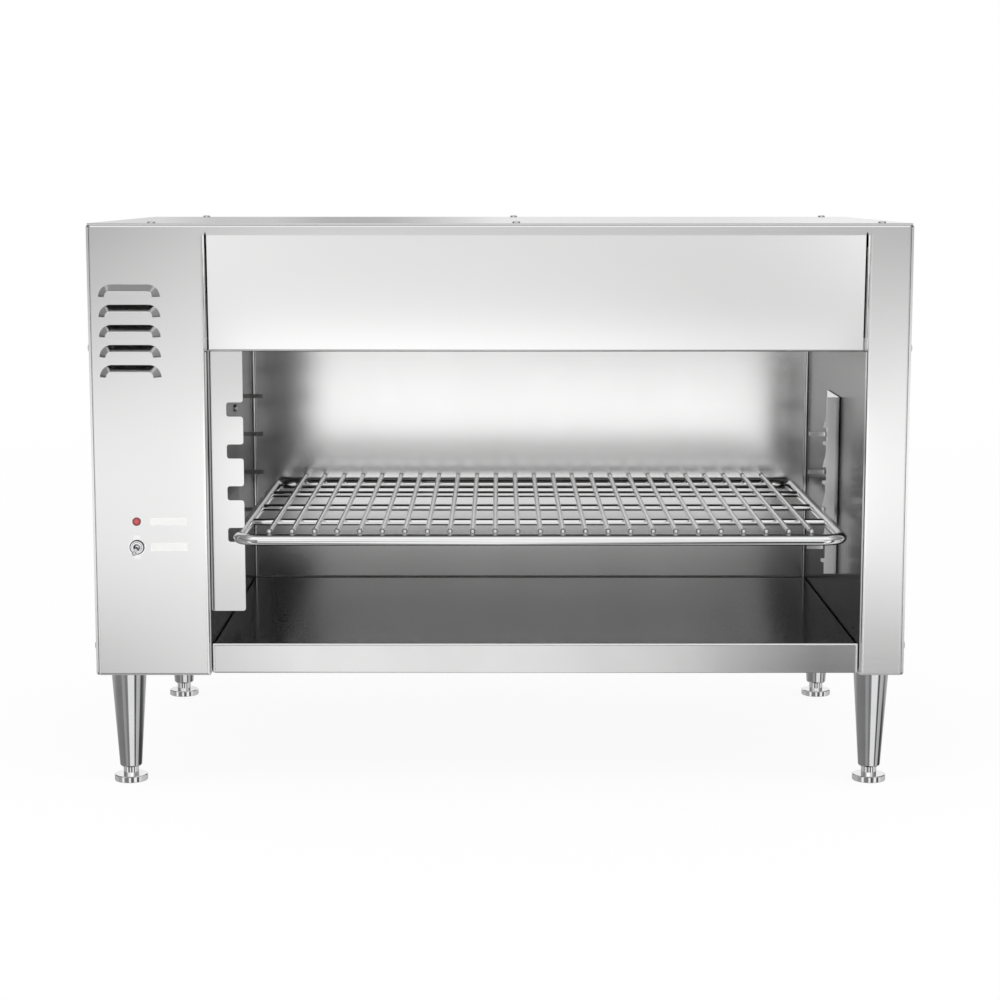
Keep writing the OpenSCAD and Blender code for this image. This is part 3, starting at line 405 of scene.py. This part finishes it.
def rounded_plate(name, centre, size, thick, radius, material, body):
    """Thin plate on the front face, with round corners and a small bevel on its front edge."""
    mesh = bmesh.new()
    corners = []
    for sx, sz, start in ((1, 1, 0), (-1, 1, 90), (-1, -1, 180), (1, -1, 270)):
        for step in range(CORNER_STEPS):
            angle = math.radians(start + step * 15)
            corners.append((centre[0] + sx * (size[0] / 2 - radius) + radius * math.cos(angle),
                            centre[1] + sz * (size[1] / 2 - radius) + radius * math.sin(angle)))
    face = mesh.faces.new([mesh.verts.new((x, FRONT_Y, z)) for x, z in reversed(corners)])
    grown = bmesh.ops.extrude_face_region(mesh, geom=[face])
    moved = [v for v in grown["geom"] if isinstance(v, bmesh.types.BMVert)]
    bmesh.ops.translate(mesh, vec=(0, -thick, 0), verts=moved)
    bmesh.ops.recalc_face_normals(mesh, faces=mesh.faces)
    data = bpy.data.meshes.new(name)
    mesh.to_mesh(data)
    mesh.free()
    piece = finish_piece(name, data, material, body)
    bevel = piece.modifiers.new("edge", "BEVEL")
    bevel.width = thick * LABEL_BEVEL_SHARE
    bevel.segments = 2
    bevel.limit_method = "ANGLE"


def label_plates(material):
    """Two bare plates beside the pilot light and the switch."""
    for name, near, wide, high in LABELS:
        low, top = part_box(near)
        middle = (low.x + top.x) / 2 + LABEL_RIGHT_OF_NEIGHBOUR
        rounded_plate(name, (middle, (low.z + top.z) / 2), (wide * MM, high * MM), LABEL_THICK, LABEL_CORNER,
                      material, "cabinet")


def round_seam(name, path, radius, material, body):
    """Thin round bead along straight runs between the path's points, with a ball at each of them."""
    mesh = bmesh.new()
    points = [Vector(point) for point in path]
    for start, end in zip(points, points[1:]):
        run = end - start
        place = Matrix.Translation((start + end) / 2) @ run.to_track_quat("Z", "Y").to_matrix().to_4x4()
        bmesh.ops.create_cone(mesh, cap_ends=True, segments=24, radius1=radius, radius2=radius,
                              depth=run.length, matrix=place)
    for point in points:
        bmesh.ops.create_uvsphere(mesh, u_segments=24, v_segments=12, radius=radius,
                                  matrix=Matrix.Translation(point))
    data = bpy.data.meshes.new(name)
    mesh.to_mesh(data)
    mesh.free()
    data.shade_smooth()
    data.set_sharp_from_angle(angle=SEAM_CREASE_ANGLE)
    finish_piece(name, data, material, body)


def cavity_seams(materials):
    """Bright seams in the cavity's rear corners, a grey one behind the tray, and a dark grey bead at the left
    guide that is painted shade of the guide's bent edge.
    """
    back, tray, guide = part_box("cavity_back_wall"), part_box("crumb_tray"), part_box("left_rack_guide")
    low, top = tray[1].z - 14 * MM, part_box("cavity_ceiling")[0].z - 2 * MM
    y = back[0].y - 0.2 * MM
    for name, x in (("corner_seam_left", back[0].x - 0.3 * MM), ("corner_seam_right", back[1].x + 0.3 * MM)):
        round_seam(name, [(x, y, low), (x, y, top)], CORNER_SEAM_RADIUS, materials["seam_steel"], "cabinet")
    left, right = back[0].x + 2 * MM, back[1].x - 2 * MM
    joint_y, joint_z = y - 0.4 * MM, tray[1].z - 3.4 * MM
    round_seam("tray_joint_seam", [(left, joint_y, joint_z), (right, joint_y, joint_z)], JOINT_SEAM_RADIUS,
               materials["joint_grey"], "cabinet")
    # The bead at the left guide is painted shade of its bent edge, not a real seam
    x, y = guide[0].x + 1.4 * MM, guide[0].y - 1.7 * MM
    round_seam("guide_bend_shade", [(x, y, guide[0].z + 2 * MM), (x, y, guide[1].z - 12 * MM)], GUIDE_SHADE_BEAD_RADIUS,
               materials["painted_shade_seam"], "cabinet")


def tray_lip_edge(material):
    """Rolled edge round the top and both ends of the crumb tray's lip."""
    low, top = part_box("crumb_tray")
    left, right = low.x + LIP_EDGE_RADIUS, top.x - LIP_EDGE_RADIUS
    y, z, foot = low.y + 0.7 * MM, top.z - LIP_EDGE_RADIUS, low.z + 2 * MM
    round_seam("tray_lip_edge", [(left, y, foot), (left, y, z), (right, y, z), (right, y, foot)],
               LIP_EDGE_RADIUS, material, "crumb_tray")


# ---------------------------------------------------------------- stage, light and camera
CAMERA_FOCAL_PX = 2278.06
CAMERA_AHEAD = 2.52714
CAMERA_HEIGHT = 0.67931
CAMERA_PITCH = 7.88
FRAME_PX = 1000
SENSOR_MM = 36.0
FLOOR_HALF = 30
# The camera sees the floor's shadow near the object, and white further out (distances in metres)
FLOOR_GLOW = 0.92
FLOOR_NEAR, FLOOR_FAR = 1.0, 4.0


def make_camera():
    """Pinhole camera, fitted to the photo's corners."""
    data = bpy.data.cameras.new("camera")
    data.sensor_width = SENSOR_MM
    data.lens = CAMERA_FOCAL_PX / FRAME_PX * SENSOR_MM
    camera = bpy.data.objects.new("camera", data)
    camera.location = (0, FRONT_Y - CAMERA_AHEAD, CAMERA_HEIGHT)
    camera.rotation_euler = (math.radians(90 - CAMERA_PITCH), 0, 0)
    bpy.context.collection.objects.link(camera)
    bpy.context.scene.camera = camera


def make_floor():
    """Pale floor: nearly white to the camera, with the object's shadow. Metal doesn't mirror it."""
    mesh = bmesh.new()
    bmesh.ops.create_grid(mesh, x_segments=1, y_segments=1, size=FLOOR_HALF)
    data = bpy.data.meshes.new("floor")
    mesh.to_mesh(data)
    mesh.free()
    floor = bpy.data.objects.new("floor", data)
    floor.visible_glossy = False
    bpy.context.collection.objects.link(floor)
    material, tree, shader = new_material("floor")
    set_shader(shader, Base_Color=(0.9, 0.9, 0.9, 1), Roughness=0.9, Specular_IOR_Level=0.0)
    glow = add(tree, "ShaderNodeEmission", {"Color": (1, 1, 1, 1), "Strength": 1.0})
    path = add(tree, "ShaderNodeLightPath")
    away = add(tree, "ShaderNodeVectorMath", operation="LENGTH")
    link(tree, object_space(tree), away.inputs[0])
    far = add(tree, "ShaderNodeMapRange", {"From Min": FLOOR_NEAR, "From Max": FLOOR_FAR,
                                           "To Min": FLOOR_GLOW, "To Max": 1.0})
    link(tree, away.outputs["Value"], far.inputs["Value"])
    fade = add(tree, "ShaderNodeMath", operation="MULTIPLY")
    link(tree, path.outputs["Is Camera Ray"], fade.inputs[0])
    link(tree, far.outputs["Result"], fade.inputs[1])
    mix = add(tree, "ShaderNodeMixShader")
    link(tree, fade.outputs[0], mix.inputs["Fac"])
    link(tree, shader.outputs["BSDF"], mix.inputs[1])
    link(tree, glow.outputs["Emission"], mix.inputs[2])
    link(tree, mix.outputs["Shader"], tree.nodes["Material Output"].inputs["Surface"])
    data.materials.append(material)


def up(degrees):
    """Place on the height ramps of a direction so many degrees above the horizon."""
    return (math.sin(math.radians(degrees)) + 1) / 2


def round_to(degrees):
    """Place on the ring ramps of a direction so many degrees to the right of straight towards the viewer."""
    return 0.25 + degrees / 360


def heights(*stops):
    """Stops of a height ramp, given in degrees above the horizon."""
    return [(up(degrees), grey) for degrees, grey in stops]


def ring(*stops):
    """Stops of a ring ramp, given in degrees to the right of straight towards the viewer."""
    return [(round_to(degrees), grey) for degrees, grey in stops]


WORLD_FILL = 0.75
# Over the horizon: a bright wall ahead, a dark room at the sides and a grey ceiling
SKY = heights((0, 0.28), (5, 0.34), (9, 0.90), (30, 1.0), (58, 1.0), (70, 0.30), (90, 0.26))
SKY_RING = ring((-85, 0.22), (-55, 0.40), (-35, 1.0), (35, 1.0), (55, 0.45), (85, 0.25), (135, 0.22),
                (160, 1.0), (200, 1.0), (225, 0.22))
SKY_TOP = heights((50, 0.0), (75, 1.0))
# Below the horizon, where the front's panels look: their upper part, their middle and their lower edge
TOP_RING = ring((-89, 0.50), (-24, 0.50), (-12, 0.20), (-9.5, 0.36), (-8.2, 0.80), (-6.5, 0.94), (-3, 0.92),
                (0, 0.84), (5, 0.74), (8, 0.56), (12, 0.40), (24, 0.50), (180, 0.45))
MIDDLE_RING = ring((-89, 0.50), (-60, 1.10), (-24, 1.10), (-12, 1.06), (-7.6, 1.18), (-6.2, 0.88),
                   (0, 0.84), (5, 0.80), (8.2, 0.80), (9.2, 1.34), (12, 1.40), (24, 1.1), (60, 1.1),
                   (90, 0.5), (180, 0.5))
LOW_RING = ring((-89, 0.35), (-60, 0.35), (-56, 0.95), (-44, 0.95), (-40, 0.25), (-24, 0.20), (-12, 0.22),
                (-9.5, 0.40), (-6.5, 0.98), (2, 0.86), (5.5, 0.54), (8, 0.10), (12, 0.06), (24, 0.20),
                (30, 0.95), (44, 0.95), (48, 0.10), (62, 0.10), (66, 0.85), (85, 0.60), (180, 0.45))
TOP_SHARE = heights((-5, 0.0), (-3.4, 0.9), (-1, 1.0))
LOW_SHARE = heights((-11.6, 1.0), (-10, 0.0))
# Further down, where the legs and feet look
LEG_RING = ring((-89, 0.24), (-47, 0.21), (-43, 0.38), (-25, 0.38), (-18, 0.22), (-4, 0.26), (0, 0.98),
                (41, 0.95), (46, 0.10), (57, 0.10), (61, 0.60), (87, 0.52), (95, 0.05), (165, 0.05),
                (185, 0.30), (220, 0.24))
LEG_SHARE = heights((-30, 0.0), (-25, 1.0), (-17, 1.0), (-15.5, 0.0))
SKY_SHARE = heights((-0.6, 0.0), (0.6, 1.0))
# Low behind the object, where the top panel looks
BACK_RING = ring((168, 0.90), (171, 0.95), (175, 0.80), (180.6, 0.87), (182, 0.42), (184.6, 0.38),
                 (185.5, 0.56), (186.4, 0.46), (188.5, 0.70), (192, 0.75))
BACK_SIDE = ring((120, 0.0), (150, 1.0), (210, 1.0), (240, 0.0))
BACK_HEIGHT = heights((-1, 0.0), (0, 1.0), (9, 1.0), (14, 0.0))


def studio_colour(tree):
    """Grey of the studio in every direction, as the mirror-like surfaces see it."""
    place = add(tree, "ShaderNodeTexCoord")
    parts = add(tree, "ShaderNodeSeparateXYZ")
    link(tree, place.outputs["Generated"], parts.inputs["Vector"])
    stretch = add(tree, "ShaderNodeMapRange", {"From Min": -1.0, "From Max": 1.0})
    link(tree, parts.outputs["Z"], stretch.inputs["Value"])
    height = stretch.outputs["Result"]
    gradient = add(tree, "ShaderNodeTexGradient", gradient_type="RADIAL")
    link(tree, place.outputs["Generated"], gradient.inputs["Vector"])
    around = gradient.outputs["Fac"]
    white = grey_ramp(tree, height, [(0.0, 1.0), (1.0, 1.0)])
    upper = mix_colours(tree, grey_ramp(tree, height, TOP_SHARE), grey_ramp(tree, around, MIDDLE_RING),
                        grey_ramp(tree, around, TOP_RING))
    panels = mix_colours(tree, grey_ramp(tree, height, LOW_SHARE), upper, grey_ramp(tree, around, LOW_RING))
    ring = mix_colours(tree, grey_ramp(tree, height, SKY_TOP), grey_ramp(tree, around, SKY_RING), white)
    sky = multiply_colours(tree, grey_ramp(tree, height, SKY), ring)
    low = mix_colours(tree, grey_ramp(tree, height, LEG_SHARE), panels, grey_ramp(tree, around, LEG_RING))
    behind = multiply_colours(tree, grey_ramp(tree, around, BACK_SIDE), grey_ramp(tree, height, BACK_HEIGHT))
    high = mix_colours(tree, behind, sky, grey_ramp(tree, around, BACK_RING))
    return mix_colours(tree, grey_ramp(tree, height, SKY_SHARE), low, high)


def make_world():
    """White to the camera, a studio to mirror-like surfaces and soft white light to the rest."""
    world = bpy.data.worlds.new("studio")
    bpy.context.scene.world = world
    world.use_nodes = True
    tree = world.node_tree
    tree.nodes.clear()
    studio = add(tree, "ShaderNodeBackground", {"Strength": 1.0})
    link(tree, studio_colour(tree), studio.inputs["Color"])
    plain = add(tree, "ShaderNodeBackground", {"Color": (1, 1, 1, 1), "Strength": WORLD_FILL})
    white = add(tree, "ShaderNodeBackground", {"Color": (1, 1, 1, 1), "Strength": 1.0})
    path = add(tree, "ShaderNodeLightPath")
    mirrored = add(tree, "ShaderNodeMixShader")
    link(tree, path.outputs["Is Glossy Ray"], mirrored.inputs["Fac"])
    link(tree, plain.outputs[0], mirrored.inputs[1])
    link(tree, studio.outputs[0], mirrored.inputs[2])
    seen = add(tree, "ShaderNodeMixShader")
    link(tree, path.outputs["Is Camera Ray"], seen.inputs["Fac"])
    link(tree, mirrored.outputs[0], seen.inputs[1])
    link(tree, white.outputs[0], seen.inputs[2])
    out = add(tree, "ShaderNodeOutputWorld")
    link(tree, seen.outputs[0], out.inputs["Surface"])


# Name, place, size and watts of the lamps that metal doesn't mirror
LAMPS = [("overhead", (0, -0.6, 2.6), (3.0, 2.0), 28),
         ("left", (-2.6, -1.6, 1.5), (1.2, 1.6), 14),
         ("right", (2.8, -1.2, 1.3), (1.0, 1.6), 12)]
# A card low in front, at the place that only the cavity's back wall mirrors
CARD_PLACE = (0.06, FRONT_Y - 1.0, 0.21)
CARD_TARGET = (0.06, 0.0, 0.21)
CARD_SIZE = (1.0, 0.24)
CARD_WATTS = 0.28


def make_lamp(name, place, size, watts, target=OBJECT_CENTRE, mirrored=False):
    data = bpy.data.lights.new(name, "AREA")
    data.shape = "RECTANGLE"
    data.size, data.size_y = size
    data.energy = watts
    lamp = bpy.data.objects.new(name, data)
    lamp.location = place
    lamp.rotation_euler = (Vector(target) - Vector(place)).to_track_quat("-Z", "Y").to_euler()
    lamp.visible_camera = False
    lamp.visible_glossy = mirrored
    bpy.context.collection.objects.link(lamp)


def make_lights():
    for name, place, size, watts in LAMPS:
        make_lamp(name, place, size, watts)
    make_lamp("card", CARD_PLACE, CARD_SIZE, CARD_WATTS, target=CARD_TARGET, mirrored=True)


materials = make_materials()
dress_cad(materials)
label_plates(moulded("label_plate", (0.86, 0.86, 0.84), (0.92, 0.92, 0.90), 0.35, 0.5, 500, 0.04))
cavity_seams(materials)
tray_lip_edge(materials["seam_steel"])
make_floor()
make_world()
make_lights()
make_camera()
bpy.context.scene.view_settings.view_transform = "Standard"
